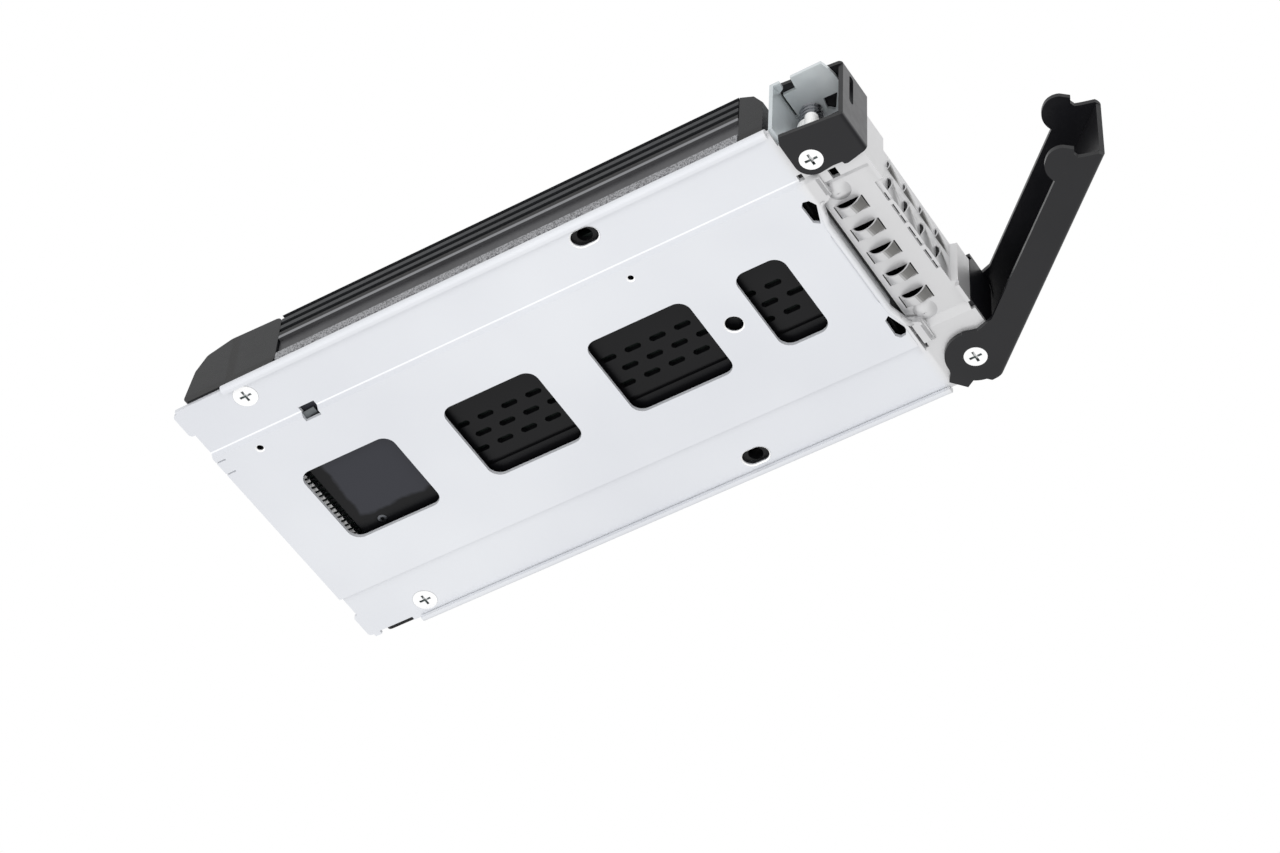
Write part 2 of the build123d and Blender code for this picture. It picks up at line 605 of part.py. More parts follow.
def make_lever():
    with BuildPart() as lever:
        for level in (GROUND_GAP, UPPER_FLANGE):
            with BuildSketch(lever_plane(level)):
                with BuildLine():
                    ThreePointArc((NECK_AT, LEVER_INNER), (NECK_AT + 1.5, LEVER_INNER - 2.3),
                                  (NECK_AT + 4.2, LEVER_INNER - 3.2))
                    ThreePointArc((NECK_AT + 4.2, LEVER_INNER - 3.2),
                                  (LEVER_LENGTH - 2.0, LEVER_INNER - 2.6),
                                  (LEVER_LENGTH - 0.9, LEVER_INNER - 1.2))
                    Polyline((LEVER_LENGTH - 0.9, LEVER_INNER - 1.2), (LEVER_LENGTH - 0.6, 0.6),
                             (LEVER_LENGTH - 1.7, 1.0), (LEVER_LENGTH - 2.1, 2.0),
                             (LEVER_LENGTH - 1.6, 2.9), (LEVER_LENGTH - 0.1, 5.2),
                             (LEVER_LENGTH - 0.3, LEVER_DEPTH), (WEB_START, LEVER_DEPTH),
                             (-4.4, 4.9), (-4.5, 1.8), (-7.5, 1.2), (-7.5, -2.6), (-5.4, -3.1),
                             (-1.5, -PIVOT_LOBE * 0.96), (PIVOT_LOBE * 0.72, -PIVOT_LOBE * 0.72),
                             (5.8, -1.8), (9.5, LEVER_INNER), (NECK_AT, LEVER_INNER))
                make_face()
                Circle(PIVOT_LOBE)
                Circle(POST_NECK_RADIUS + PIVOT_CLEARANCE, mode=Mode.SUBTRACT)
            extrude(amount=STRIP)
        with BuildSketch(lever_plane(GROUND_GAP)):
            with Locations(((WEB_START + LEVER_LENGTH - 0.3) / 2, LEVER_DEPTH - STRIP / 2)):
                Rectangle(LEVER_LENGTH - 0.3 - WEB_START, STRIP)
        extrude(amount=MECH_HEIGHT - GROUND_GAP)
        for level in (GROUND_GAP, MECH_HEIGHT):
            folds = lever.edges().filter_by_position(Axis.Z, level - 0.01, level + 0.01)
            fillet(folds.sort_by(SortBy.LENGTH)[-1:], FOLD_RADIUS)
        cut_pivot_countersink(LEVER_X, LEVER_Y)
    return lever.part


def cut_pivot_countersink(x, y):
    """Cone in a lower flange for a pivot screw, with a running clearance all round."""
    with Locations((x, y, GROUND_GAP + STRIP / 2)):
        Cone(PIVOT_SCREW_RADIUS + PIVOT_CLEARANCE + HEAD_TAPER * (STRIP - SCREW_HEAD_HEIGHT),
             PIVOT_HEAD_RADIUS + PIVOT_CLEARANCE, STRIP, rotation=(180, 0, 0), mode=Mode.SUBTRACT)


def make_catch():
    with BuildPart() as catch:
        for level in (GROUND_GAP, UPPER_FLANGE):
            with BuildSketch(Plane.XY.offset(level)):
                with BuildLine():
                    Polyline((CATCH_X - 2.7, CATCH_OUTER - 1.3), (CATCH_FRONT - 0.9, CATCH_OUTER - 0.3),
                             (CATCH_FRONT, CATCH_OUTER), (CATCH_FRONT, CATCH_INNER),
                             (CATCH_X + 7.4, CATCH_INNER + 0.6), (CATCH_X + 5.4, CATCH_INNER + 1.05),
                             (CATCH_X + 4.8, CATCH_INNER + 0.9), (CATCH_X + 4.6, CATCH_INNER + 0.3),
                             (CATCH_X + 2.8, CATCH_INNER + 0.2), (CATCH_X, CATCH_Y + CATCH_LOBE),
                             (CATCH_X - CATCH_LOBE, CATCH_Y), (CATCH_X - CATCH_LOBE, CATCH_OUTER + 0.3),
                             close=True)
                make_face()
                with Locations((CATCH_X, CATCH_Y)):
                    Circle(CATCH_LOBE)
                    Circle(POST_NECK_RADIUS + PIVOT_CLEARANCE, mode=Mode.SUBTRACT)
            extrude(amount=STRIP)
        with BuildSketch(Plane.XY.offset(GROUND_GAP)):
            with Locations((CATCH_FRONT - STRIP / 2, (CATCH_OUTER + CATCH_INNER) / 2)):
                Rectangle(STRIP, CATCH_INNER - CATCH_OUTER)
        extrude(amount=MECH_HEIGHT - GROUND_GAP)
        folds = catch.edges().filter_by(Axis.Y)
        folds = folds.filter_by_position(Axis.X, CATCH_FRONT - 0.01, CATCH_FRONT + 0.01)
        fillet(folds, FOLD_RADIUS)
        with BuildSketch(Plane.YZ.offset(CATCH_FRONT - 2 * STRIP)):
            with Locations((CATCH_OUTER + CATCH_SLOT_INSET, (CATCH_SLOT_BOTTOM + CATCH_SLOT_TOP) / 2)):
                SlotOverall(CATCH_SLOT_TOP - CATCH_SLOT_BOTTOM, CATCH_SLOT_WIDTH, rotation=90)
        extrude(amount=3 * STRIP, mode=Mode.SUBTRACT)
        cut_pivot_countersink(CATCH_X, CATCH_Y)
    return catch.part


def make_post(x, y):
    with BuildPart() as post:
        with Locations((x, y, STRIP_TOP)):
            Cylinder(POST_RADIUS, SHELF_TOP - STRIP_TOP, align=(Align.CENTER, Align.CENTER, Align.MIN))
        with Locations((x, y, SHELF_TOP)):
            Cylinder(POST_NECK_RADIUS, MECH_HEIGHT + TOP_GAP - SHELF_TOP,
                     align=(Align.CENTER, Align.CENTER, Align.MIN))
        with Locations((x, y, MECH_HEIGHT + TOP_GAP)):
            Cylinder(POST_HEAD_RADIUS, POST_HEAD_HEIGHT, align=(Align.CENTER, Align.CENTER, Align.MIN))
        with Locations((x, y, STRIP_TOP)):
            Cylinder(PIVOT_SCREW_RADIUS + THREAD_GAP, SCREW_LENGTH,
                     align=(Align.CENTER, Align.CENTER, Align.MIN), mode=Mode.SUBTRACT)
        chamfer(post.edges().group_by(Axis.Z)[-1], 0.25)
    return post.part


def add_screw(x, y, base, radius, head_radius):
    """Countersunk screw pointing up from its head's flat face, with a cross recess."""
    with BuildSketch(Plane(origin=(x, y, base), x_dir=(1, 0, 0), z_dir=(0, -1, 0))) as profile:
        with BuildLine():
            Polyline((0, 0), (head_radius, 0), (radius, SCREW_HEAD_HEIGHT),
                     (radius, SCREW_LENGTH), (0, SCREW_LENGTH), close=True)
        make_face()
    revolve(profile.sketch, axis=Axis((x, y, 0), (0, 0, 1)))
    with BuildSketch(Plane.XY.offset(base)) as cross:
        with Locations((x, y)):
            Rectangle(CROSS_LENGTH, CROSS_WIDTH)
            Rectangle(CROSS_WIDTH, CROSS_LENGTH)
    extrude(cross.sketch, amount=CROSS_DEPTH, mode=Mode.SUBTRACT)


def make_drive_screws():
    with BuildPart() as screws:
        for side in (-1, 1):
            add_screw(at(DRIVE_SCREW_AT), side * DRIVE_SCREW_SPACING / 2, RECESS + 0.02,
                      DRIVE_SCREW_RADIUS, DRIVE_HEAD_RADIUS)
    return screws.part


def make_pivot_screw(x, y):
    with BuildPart() as screw:
        add_screw(x, y, GROUND_GAP + 0.02, PIVOT_SCREW_RADIUS, PIVOT_HEAD_RADIUS)
    return screw.part


def make_hub():
    with BuildPart() as hub:
        with BuildSketch(Plane.XY.offset(STRIP_TOP + SHEET)):
            with Locations((CATCH_X, CATCH_Y)):
                Circle(HUB_RADIUS)
                with PolarLocations(HUB_LOBE_REACH - HUB_LOBE_RADIUS, 2, start_angle=-60,
                                    angular_range=180):
                    Circle(HUB_LOBE_RADIUS)
                Circle(POST_RADIUS + PIVOT_CLEARANCE, mode=Mode.SUBTRACT)
        extrude(amount=HUB_TOP - STRIP_TOP - SHEET)
    return hub.part


def make_spring():
    height = SHELF_BOTTOM - HUB_TOP - SPRING_WIRE - 0.1
    with BuildPart() as spring:
        with BuildLine():
            coil = Helix(height / SPRING_TURNS, height, SPRING_RADIUS,
                         center=(CATCH_X, CATCH_Y, HUB_TOP + SPRING_WIRE / 2 + 0.05))
        with BuildSketch(Plane(origin=coil @ 0, z_dir=coil % 0)):
            RegularPolygon(SPRING_WIRE / 2, 4)
        sweep(is_frenet=True)
    return spring.part


def make_catch_bracket():
    with BuildPart() as bracket:
        with BuildSketch(Plane.XY.offset(SHELF_BOTTOM)):
            with BuildLine():
                Polyline((at(BRACKET_REAR), -BRACKET_SIDE), (at(BRACKET_REAR + 2.0), -BRACKET_SIDE),
                         (at(BRACKET_REAR + 2.0), 1.5 - BRACKET_SIDE),
                         (at(BRACKET_REAR + 0.8), 2.1 - BRACKET_SIDE),
                         (at(BRACKET_REAR + 0.8), 2.7 - BRACKET_SIDE), (CATCH_X, 2.7 - BRACKET_SIDE),
                         (CATCH_X + 0.3, -BRACKET_SIDE), (at(BRACKET_FRONT - 1.0), -BRACKET_SIDE),
                         (at(BRACKET_FRONT - 0.4), 1.7 - BRACKET_SIDE),
                         (at(BRACKET_FRONT), 4.0 - BRACKET_SIDE),
                         (at(BRACKET_FRONT), WALL_CATCH_END - 1.2),
                         (at(BRACKET_REAR), WALL_CATCH_END - 1.2), close=True)
            make_face()
            with Locations((CATCH_X, CATCH_Y)):
                Circle(POST_RADIUS + PIVOT_CLEARANCE, mode=Mode.SUBTRACT)
            with BuildLine():
                Polyline((CATCH_X + 3.3, CATCH_Y - 1.5), (CATCH_X + 6.2, CATCH_Y - 1.4),
                         (CATCH_X + 4.0, CATCH_Y + 1.9), (CATCH_X + 2.8, CATCH_Y + 0.9), close=True)
            make_face(mode=Mode.SUBTRACT)
            with Locations((at(BRACKET_REAR + 1.1), CATCH_Y - 3.4)):
                Rectangle(0.5, 6.2, mode=Mode.SUBTRACT)
        extrude(amount=SHEET)
        with BuildSketch(Plane.XY.offset(STRIP_TOP)):
            with Locations((at(BRACKET_REAR) + SHEET / 2, (WALL_CATCH_END - 1.2 - BRACKET_SIDE) / 2)):
                Rectangle(SHEET, BRACKET_SIDE + WALL_CATCH_END - 1.2)
        extrude(amount=SHELF_TOP - STRIP_TOP)
        with BuildSketch(Plane.XY.offset(STRIP_TOP)):
            with Locations((at(BRACKET_REAR) + BRACKET_FOOT / 2, CATCH_Y - 1.0)):
                Rectangle(BRACKET_FOOT, 6.2)
            with Locations((CATCH_X, CATCH_Y)):
                Circle(POST_RADIUS + PIVOT_CLEARANCE, mode=Mode.SUBTRACT)
        extrude(amount=SHEET)
    return bracket.part


def make_lever_bracket():
    front = at(TRAY_LENGTH)
    with BuildPart() as bracket:
        with BuildSketch(Plane.XY.offset(SHELF_BOTTOM)):
            with BuildLine():
                Polyline((at(BRACKET_REAR), LEVER_PLATE_START), (front, LEVER_PLATE_START),
                         (front, LEVER_PLATE_END), (front - 1.1, LEVER_Y + 0.2),
                         (LEVER_X + 1.5, LEVER_Y + 4.3), (at(BRACKET_REAR), LEVER_Y + 4.3), close=True)
            make_face()
            with Locations((LEVER_X, LEVER_Y)):
                Circle(POST_RADIUS + PIVOT_CLEARANCE, mode=Mode.SUBTRACT)
        extrude(amount=SHEET)
        with BuildSketch(Plane.YZ.offset(front - SHEET)):
            with Locations(((LEVER_PLATE_START + LEVER_PLATE_END) / 2, (STRIP_TOP + SHELF_TOP) / 2)):
                Rectangle(LEVER_PLATE_END - LEVER_PLATE_START, SHELF_TOP - STRIP_TOP)
            fillet(vertices().sort_by(Axis.Y)[-2:], LEVER_PLATE_CORNER)
        extrude(amount=SHEET)
        with BuildSketch(Plane.XY.offset(STRIP_TOP)):
            with Locations((at(BRACKET_REAR) + SHEET / 2, LEVER_Y - 0.4)):
                Rectangle(SHEET, 9.4)
        extrude(amount=SHELF_TOP - STRIP_TOP)
    return bracket.part


def make_heatsink():
    half = MODULE_WIDTH / 2
    with BuildPart() as heatsink:
        with BuildSketch(Plane.YZ.offset(at(HOUSING_START))):
            with Locations((0, (MODULE_BOTTOM + HOUSING_TOP) / 2)):
                Rectangle(MODULE_WIDTH, HOUSING_TOP - MODULE_BOTTOM)
            chamfer(vertices().group_by(Axis.Y)[0], HOUSING_CHAMFER)
            with Locations((0, (MODULE_BOTTOM + CAVITY_TOP) / 2)):
                Rectangle(COVER_WIDTH + 2 * COVER_GAP, CAVITY_TOP - MODULE_BOTTOM, mode=Mode.SUBTRACT)
            with Locations((0, (CAVITY_FLOOR + CAVITY_TOP) / 2)):
                Rectangle(CAVITY_WIDTH, CAVITY_TOP - CAVITY_FLOOR, mode=Mode.SUBTRACT)
            for side in (-1, 1):
                with Locations((side * half, (SIDE_RECESS_BOTTOM + SIDE_RECESS_TOP) / 2)):
                    Rectangle(2 * SIDE_RECESS_DEPTH, SIDE_RECESS_TOP - SIDE_RECESS_BOTTOM,
                              mode=Mode.SUBTRACT)
                for index in range(SIDE_GROOVES):
                    level = SIDE_GROOVE_BOTTOM + SIDE_GROOVE / 2 + index * SIDE_GROOVE_PITCH
                    with Locations((side * half, level)):
                        Rectangle(2 * SIDE_GROOVE_DEPTH, SIDE_GROOVE, mode=Mode.SUBTRACT)
            with Locations((0, HOUSING_TOP)):
                with GridLocations(TOP_GROOVE_PITCH, 0, TOP_GROOVES, 1):
                    Rectangle(TOP_GROOVE_WIDTH, 2 * TOP_GROOVE_DEPTH, mode=Mode.SUBTRACT)
        extrude(amount=HOUSING_END - HOUSING_START)
        for side in (-1, 1):
            with Locations((at(ACCESS_SLOT_AT), side * DRIVE_SCREW_SPACING / 2, MODULE_BOTTOM)):
                Cylinder(DRIVE_SCREW_RADIUS, 4.0, mode=Mode.SUBTRACT)
    return heatsink.part


def make_rear_cap():
    with BuildPart() as cap:
        with BuildSketch(Plane.XZ.offset(-(MODULE_WIDTH / 2 - 0.1))):
            with BuildLine():
                Polyline((at(MODULE_REAR), MODULE_BOTTOM), (at(MODULE_REAR + 1.8), 10.7),
                         (at(MODULE_REAR + 4.2), 14.2), (at(MODULE_REAR + 9.9), MODULE_TOP),
                         (at(HOUSING_START - 1.7), HOUSING_TOP),
                         (at(HOUSING_START - CAP_GAP), HOUSING_TOP),
                         (at(HOUSING_START - CAP_GAP), MODULE_BOTTOM), close=True)
            make_face()
            fillet(vertices().group_by(Axis.Z)[-2:], 1.5)
        extrude(amount=MODULE_WIDTH - 0.2)
        with BuildSketch(Plane.XY.offset(CAVITY_FLOOR)):
            with Locations((at((BOARD_REAR + HOUSING_START) / 2), 0)):
                Rectangle(HOUSING_START - BOARD_REAR + 0.6, BOSS_WIDTH)
        extrude(amount=CAVITY_TOP - CAVITY_FLOOR, mode=Mode.SUBTRACT)
        with BuildSketch(Plane.XY.offset(CAVITY_FLOOR)):
            with Locations((at(BOARD_REAR / 2), 0)):
                Rectangle(BOARD_REAR + 0.4, CONNECTOR_WIDTH + 0.4)
        extrude(amount=CONNECTOR_TOP + 0.1 - CAVITY_FLOOR, mode=Mode.SUBTRACT)
        with BuildSketch(Plane.XY.offset(0)):
            with Locations((at((4.4 + HOUSING_START) / 2), 0)):
                Rectangle(HOUSING_START - 4.4, CONNECTOR_WIDTH)
            with Locations((at((CAP_FLOOR_OPENING + HOUSING_START) / 2), 0)):
                Rectangle(HOUSING_START - CAP_FLOOR_OPENING, COVER_WIDTH + 2 * COVER_GAP)
        extrude(amount=CAVITY_FLOOR + 0.1, mode=Mode.SUBTRACT)
        for side in (-1, 1):
            with Locations((at(DRIVE_SCREW_AT), side * DRIVE_SCREW_SPACING / 2, MODULE_BOTTOM)):
                Cylinder(DRIVE_SCREW_RADIUS + THREAD_GAP, 2 * SCREW_LENGTH, mode=Mode.SUBTRACT)
    return cap.part


def make_front_cap():
    with BuildPart() as cap:
        with BuildSketch(Plane.XZ.offset(-(MODULE_WIDTH / 2 - 0.1))):
            with BuildLine():
                Polyline((at(HOUSING_END + CAP_GAP), MODULE_BOTTOM), (at(MODULE_FRONT), MODULE_BOTTOM),
                         (at(MODULE_FRONT), 10.6), (at(MODULE_FRONT - 2.0), 13.8),
                         (at(HOUSING_END + CAP_GAP), HOUSING_TOP), close=True)
            make_face()
            fillet(vertices().group_by(Axis.Z)[1:3], 1.6)
        extrude(amount=MODULE_WIDTH - 0.2)
        with BuildSketch(Plane.YZ.offset(at(HOUSING_END))):
            with Locations((0, 7.0)):
                Rectangle(CAVITY_WIDTH, 7.0)
        extrude(amount=3.0, mode=Mode.SUBTRACT)
        with BuildSketch(Plane.XY.offset(0)):
            with Locations((LIP_X - SHEET / 2, 0)):
                Rectangle(3 * SHEET, 2 * BEND_LIP_END + 3)
        extrude(amount=BEND_LIP_HEIGHT + 0.2, mode=Mode.SUBTRACT)
    return cap.part


def make_insulator():
    """Black film that lines the top and the rear of the louvred front."""
    top = WALL_HEIGHT - SHEET
    rear = at(TOP_FLANGE_REAR)
    ahead = WALL_X - SHEET - INSULATOR
    middle = (WALL_CATCH_END + WALL_LEVER_END) / 2
    width = WALL_LEVER_END - WALL_CATCH_END - 2 * INSULATOR
    with BuildPart() as film:
        with BuildSketch(Plane.XY.offset(top - INSULATOR)):
            with Locations(((rear + ahead) / 2, middle)):
                Rectangle(ahead - rear, width)
        extrude(amount=INSULATOR)
        with BuildSketch(Plane.XY.offset(INSULATOR_FOOT)):
            with Locations((rear + INSULATOR / 2, middle)):
                Rectangle(INSULATOR, width)
        extrude(amount=top - INSULATOR_FOOT)
    return film.part


def make_cover():
    start, end = CAP_FLOOR_OPENING + COVER_GAP, HOUSING_END - COVER_GAP
    with BuildPart() as cover:
        with BuildSketch(Plane.XY.offset(MODULE_BOTTOM)):
            with Locations((at((start + end) / 2), 0)):
                Rectangle(end - start, COVER_WIDTH)
        extrude(amount=COVER_THICKNESS)
        with BuildSketch(Plane.XY.offset(MODULE_BOTTOM)):
            for share, count in zip(COVER_SLOT_SHARES, COVER_SLOT_COUNTS):
                centre = share * TRAY_LENGTH
                for row, offset in ((0, 0.25), (-1, -0.25), (1, -0.25)):
                    with Locations((at(centre) + offset * COVER_SLOT_PITCH, row * COVER_ROW_PITCH)):
                        with GridLocations(COVER_SLOT_PITCH, 0, count, 1):
                            Rectangle(COVER_SLOT_LENGTH, COVER_SLOT_WIDTH)
            chamfer(vertices(), COVER_SLOT_WIDTH * 0.32)
        extrude(amount=COVER_THICKNESS, mode=Mode.SUBTRACT)
        with BuildSketch(Plane.XY.offset(MODULE_BOTTOM)):
            with Locations((at((HOUSING_START + 16 + end) / 2), COVER_STEP_AT)):
                Rectangle(end - HOUSING_START - 16, COVER_STEP_WIDTH)
            with Locations((at(COVER_SCREW_AT), COVER_SCREW_ACROSS)):
                Circle(COVER_SCREW_RADIUS + COVER_GAP)
        extrude(amount=COVER_STEP_DEPTH, mode=Mode.SUBTRACT)
    return cover.part


def make_cover_screw():
    with BuildPart() as screw:
        with BuildSketch(Plane.XY.offset(MODULE_BOTTOM + 0.1)):
            with Locations((at(COVER_SCREW_AT), COVER_SCREW_ACROSS)):
                Circle(COVER_SCREW_RADIUS)
                RegularPolygon(COVER_SCREW_RADIUS / 2, 6, mode=Mode.SUBTRACT)
        extrude(amount=COVER_STEP_DEPTH - 0.1)
    return screw.part


def make_board():
    with BuildPart() as board:
        with BuildSketch(Plane.XY.offset(BOARD_BOTTOM)):
            with Locations((at((BOARD_REAR + BOARD_FRONT) / 2), 0)):
                Rectangle(BOARD_FRONT - BOARD_REAR, BOSS_WIDTH - 2 * COVER_GAP)
            with Locations((at((HOUSING_START + BOARD_FRONT) / 2 + 0.5), 0)):
                Rectangle(BOARD_FRONT - HOUSING_START - 1.0, BOARD_WIDTH)
        extrude(amount=BOARD_THICKNESS)
    return board.part


def chip_places():
    """Memory packages: columns ahead of the controller, two rows across."""
    first = at(BOARD_FRONT) - CHIP_EDGE - CHIP_LENGTH / 2 - (CHIP_COLUMNS - 1) * CHIP_PITCH_X
    return [(first + column * CHIP_PITCH_X, side * CHIP_PITCH_Y / 2)
            for column in range(CHIP_COLUMNS) for side in (-1, 1)]


def make_slabs(places, length, width, base, height):
    with BuildPart() as slabs:
        for x, y in places:
            with Locations((x, y, base + height / 2)):
                Box(length, width, height)
    return slabs.part


def make_connector():
    depth = BOARD_REAR - CONNECTOR_REAR - COVER_GAP
    base = BOARD_BOTTOM
    with BuildPart() as connector:
        with BuildSketch(Plane.XY.offset(base)):
            with Locations((at(CONNECTOR_REAR) + depth / 2, 0)):
                Rectangle(depth, CONNECTOR_WIDTH)
        extrude(amount=CONNECTOR_TOP - base)
        with BuildSketch(Plane.YZ.offset(at(CONNECTOR_REAR))):
            with Locations((0, (base + CONNECTOR_TOP) / 2)):
                Rectangle(CONNECTOR_WIDTH - 2 * CONNECTOR_WALL,
                          CONNECTOR_TOP - base - 2 * CONNECTOR_WALL)
                Rectangle(CONNECTOR_WIDTH - 6 * CONNECTOR_WALL, TONGUE_THICKNESS, mode=Mode.SUBTRACT)
        extrude(amount=CONNECTOR_MOUTH, mode=Mode.SUBTRACT)
    return connector.part


def make_pins():
    start = BOARD_REAR - COVER_GAP
    with BuildPart() as pins:
        with Locations((at((start + PIN_END) / 2), 0, BOARD_BOTTOM - PIN_THICKNESS / 2)):
            with GridLocations(0, PIN_PITCH, 1, PIN_COUNT):
                Box(PIN_END - start, PIN_WIDTH, PIN_THICKNESS)
    return pins.part


def save(part, label):
    part.label = label
    export_step(part, "parts/" + label + ".step")


controller = [(at(CONTROLLER_AT), 0)]
capacitors = [(at(CAPACITOR_AT), (index - (CAPACITOR_COUNT - 1) / 2) * CAPACITOR_PITCH)
              for index in range(CAPACITOR_COUNT)]
save(make_tray(), "tray")
save(make_lever(), "lever")
save(make_catch(), "release_latch")
save(make_post(LEVER_X, LEVER_Y), "lever_post")
save(make_post(CATCH_X, CATCH_Y), "latch_post")
save(make_pivot_screw(LEVER_X, LEVER_Y), "lever_screw")
save(make_pivot_screw(CATCH_X, CATCH_Y), "latch_screw")
save(make_drive_screws(), "drive_screws")
save(make_hub(), "latch_hub")
save(make_spring(), "latch_spring")
save(make_catch_bracket(), "latch_bracket")
save(make_lever_bracket(), "lever_bracket")
save(make_heatsink(), "heatsink")
save(make_rear_cap(), "rear_cap")
save(make_front_cap(), "front_cap")
save(make_cover(), "bottom_cover")
save(make_board(), "circuit_board")
save(make_slabs(chip_places(), CHIP_LENGTH, CHIP_WIDTH, BOARD_TOP, CHIP_HEIGHT), "memory_chips")
save(make_slabs(controller, CONTROLLER_SIZE, CONTROLLER_SIZE, BOARD_TOP, CHIP_HEIGHT), "controller_chip")
save(make_slabs(chip_places() + controller, CHIP_WIDTH, CHIP_WIDTH, CHIP_TOP, PAD_HEIGHT), "thermal_pads")
save(make_slabs(capacitors, CAPACITOR_SIZE[1], CAPACITOR_SIZE[0] - 1.3, BOARD_TOP,
                CHIP_HEIGHT + 0.6), "capacitors")
save(make_connector(), "connector_housing")
save(make_pins(), "connector_pins")
save(make_insulator(), "front_insulator")
save(make_cover_screw(), "cover_screw")
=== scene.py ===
from math import cos, pi, sin

import bpy
from mathutils import Matrix, Vector


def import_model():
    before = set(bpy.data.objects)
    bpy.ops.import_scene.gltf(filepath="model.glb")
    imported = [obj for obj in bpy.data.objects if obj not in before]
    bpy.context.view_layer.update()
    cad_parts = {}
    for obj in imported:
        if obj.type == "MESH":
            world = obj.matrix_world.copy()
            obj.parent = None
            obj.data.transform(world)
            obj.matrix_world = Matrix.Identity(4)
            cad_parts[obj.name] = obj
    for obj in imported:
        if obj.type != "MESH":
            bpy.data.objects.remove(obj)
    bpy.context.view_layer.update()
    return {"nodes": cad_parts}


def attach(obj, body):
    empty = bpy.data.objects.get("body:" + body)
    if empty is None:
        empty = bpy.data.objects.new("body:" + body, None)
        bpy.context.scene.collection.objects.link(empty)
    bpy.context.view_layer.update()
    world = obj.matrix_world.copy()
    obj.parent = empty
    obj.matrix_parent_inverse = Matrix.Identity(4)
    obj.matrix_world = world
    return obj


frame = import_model()
nodes = frame["nodes"]
MM = 0.001

# Edges where a colour changes: the place along one axis and the width of the change, in millimetres
FRONT_START = (58.5, 2.0)
BRUSHED_START = (60.2, 0.4)
# Edges of the painted highlight along the fold line
FOLD_OUTER = (-22.65, 0.1)
FOLD_INNER = (-22.35, 0.1)
WALL_BEND_TOP = (3.6, 0.3)
BEND_START = (69.2, 0.3)
LOUVRE_REACH = (14.1, 0.2)
TAIL_END = (-61.4, 0.05)
PATCH_REAR = (-57.4, 0.9)
PATCH_AHEAD = (-37.5, 1.0)
PATCH_SIDE = (6.0, 0.9)
SIDE_FACE = (33.9, 0.1)
SIDE_RECESS = (33.4, 0.1)
STRIP_TOP = (4.15, 0.1)
LEDGE_BOTTOM = (8.4, 0.1)
LEDGE_TOP = (9.2, 0.1)
FIN_BOTTOM = (11.2, 0.1)
# Edges of the cap's painted dark reflection band
BAND_REAR = (-61.2, 0.4)
BAND_AHEAD = (-59.4, 0.8)
CAP_LOW_EDGE = (3.4, 0.3)
# How far the worn patch's outline wanders, and how strongly the painted highlight turns the fins' edges
# paler
PATCH_WANDER = 2.4 * MM
FIN_EDGE_SHARE = 0.5

# Levels of the screw heads' faces, and the depth and soft ends of their recess, in millimetres
DRIVE_HEAD_LEVEL = 1.15
PIVOT_HEAD_LEVEL = 0.1
RECESS_DEPTH = 0.8
RECESS_MOUTH_BLUR = 0.12
RECESS_END_BLUR = 0.05

# Ranges over which a colour changes with one part of the surface's normal
# Where the latch's painted sheen starts and is full
LATCH_FORWARD = (0.75, 0.95)
FACING_DOWN = (-0.95, -0.9)
RECESS_TILTED = (-0.98, -0.9)
RECESS_STEEP = (-0.6, -0.3)
# The same for the product of its forward and upward parts, negative where it faces forward and down
BOW_RANGE = (-0.34, -0.06)
# How dark the painted shade in the recess is where it is tilted and not steep
TILTED_SHADE = 0.8

# Ranges of noise that carry a full change of colour or roughness
CLOUD_RANGE = (0.3, 0.7)
GRAIN_RANGE = (0.2, 0.8)
SPECKLE_RANGE = (0.42, 0.62)

WHITE = (1, 1, 1, 1)


def linear(red, green, blue):
    """Linear colour of an 8-bit display colour."""
    parts = []
    for value in (red, green, blue):
        share = value / 255
        parts.append(share / 12.92 if share <= 0.04045 else ((share + 0.055) / 1.055) ** 2.4)
    return (*parts, 1.0)


class NodeTree:
    """Short ways to add nodes to one node tree."""

    def __init__(self, tree):
        self.tree = tree

    def feed(self, socket, value):
        """Link another node's output to a socket, or set the socket's own value."""
        if isinstance(value, bpy.types.NodeSocket):
            self.tree.links.new(value, socket)
        else:
            socket.default_value = value

    def feed_first(self, node, values):
        """Feed a node's first sockets in their order."""
        for socket, value in zip(node.inputs, values):
            self.feed(socket, value)

    def add(self, kind, settings=None, **inputs):
        node = self.tree.nodes.new(kind)
        for key, value in (settings or {}).items():
            setattr(node, key, value)
        for key, value in inputs.items():
            self.feed(node.inputs[key], value)
        return node

    def maths(self, operation, *values):
        node = self.add("ShaderNodeMath", {"operation": operation})
        self.feed_first(node, values)
        return node.outputs[0]

    def times(self, first, *others):
        product = first
        for value in others:
            product = self.maths("MULTIPLY", product, value)
        return product

    def vector_value(self, operation, *values):
        """The one number that an operation on vectors gives."""
        node = self.add("ShaderNodeVectorMath", {"operation": operation})
        self.feed_first(node, values)
        return node.outputs["Value"]

    def span(self, value, low, high, to_low, to_high, curve="LINEAR"):
        """A value carried from one range to another and held beyond its ends."""
        node = self.add("ShaderNodeMapRange", {"interpolation_type": curve}, Value=value)
        for key, number in zip(("From Min", "From Max", "To Min", "To Max"),
                               (low, high, to_low, to_high)):
            node.inputs[key].default_value = number
        return node.outputs["Result"]

    def rise(self, value, edge):
        """0 before an edge and 1 past it."""
        start, width = edge
        return self.span(value, start * MM, (start + width) * MM, 0, 1)

    def fall(self, value, edge):
        """1 before an edge and 0 past it."""
        start, width = edge
        return self.span(value, start * MM, (start + width) * MM, 1, 0)

    def blend(self, share, first, second):
        """Two colours mixed by a share of the second."""
        node = self.add("ShaderNodeMix", {"data_type": "RGBA"}, Factor=share)
        self.feed(node.inputs[6], first)
        self.feed(node.inputs[7], second)
        return node.outputs[2]

    def surface(self, output, share, first, second):
        """Two shaders mixed by a share of the second, linked to the tree's output node."""
        node = self.add("ShaderNodeMixShader")
        self.feed_first(node, (share, first, second))
        self.feed(self.tree.nodes[output].inputs["Surface"], node.outputs[0])


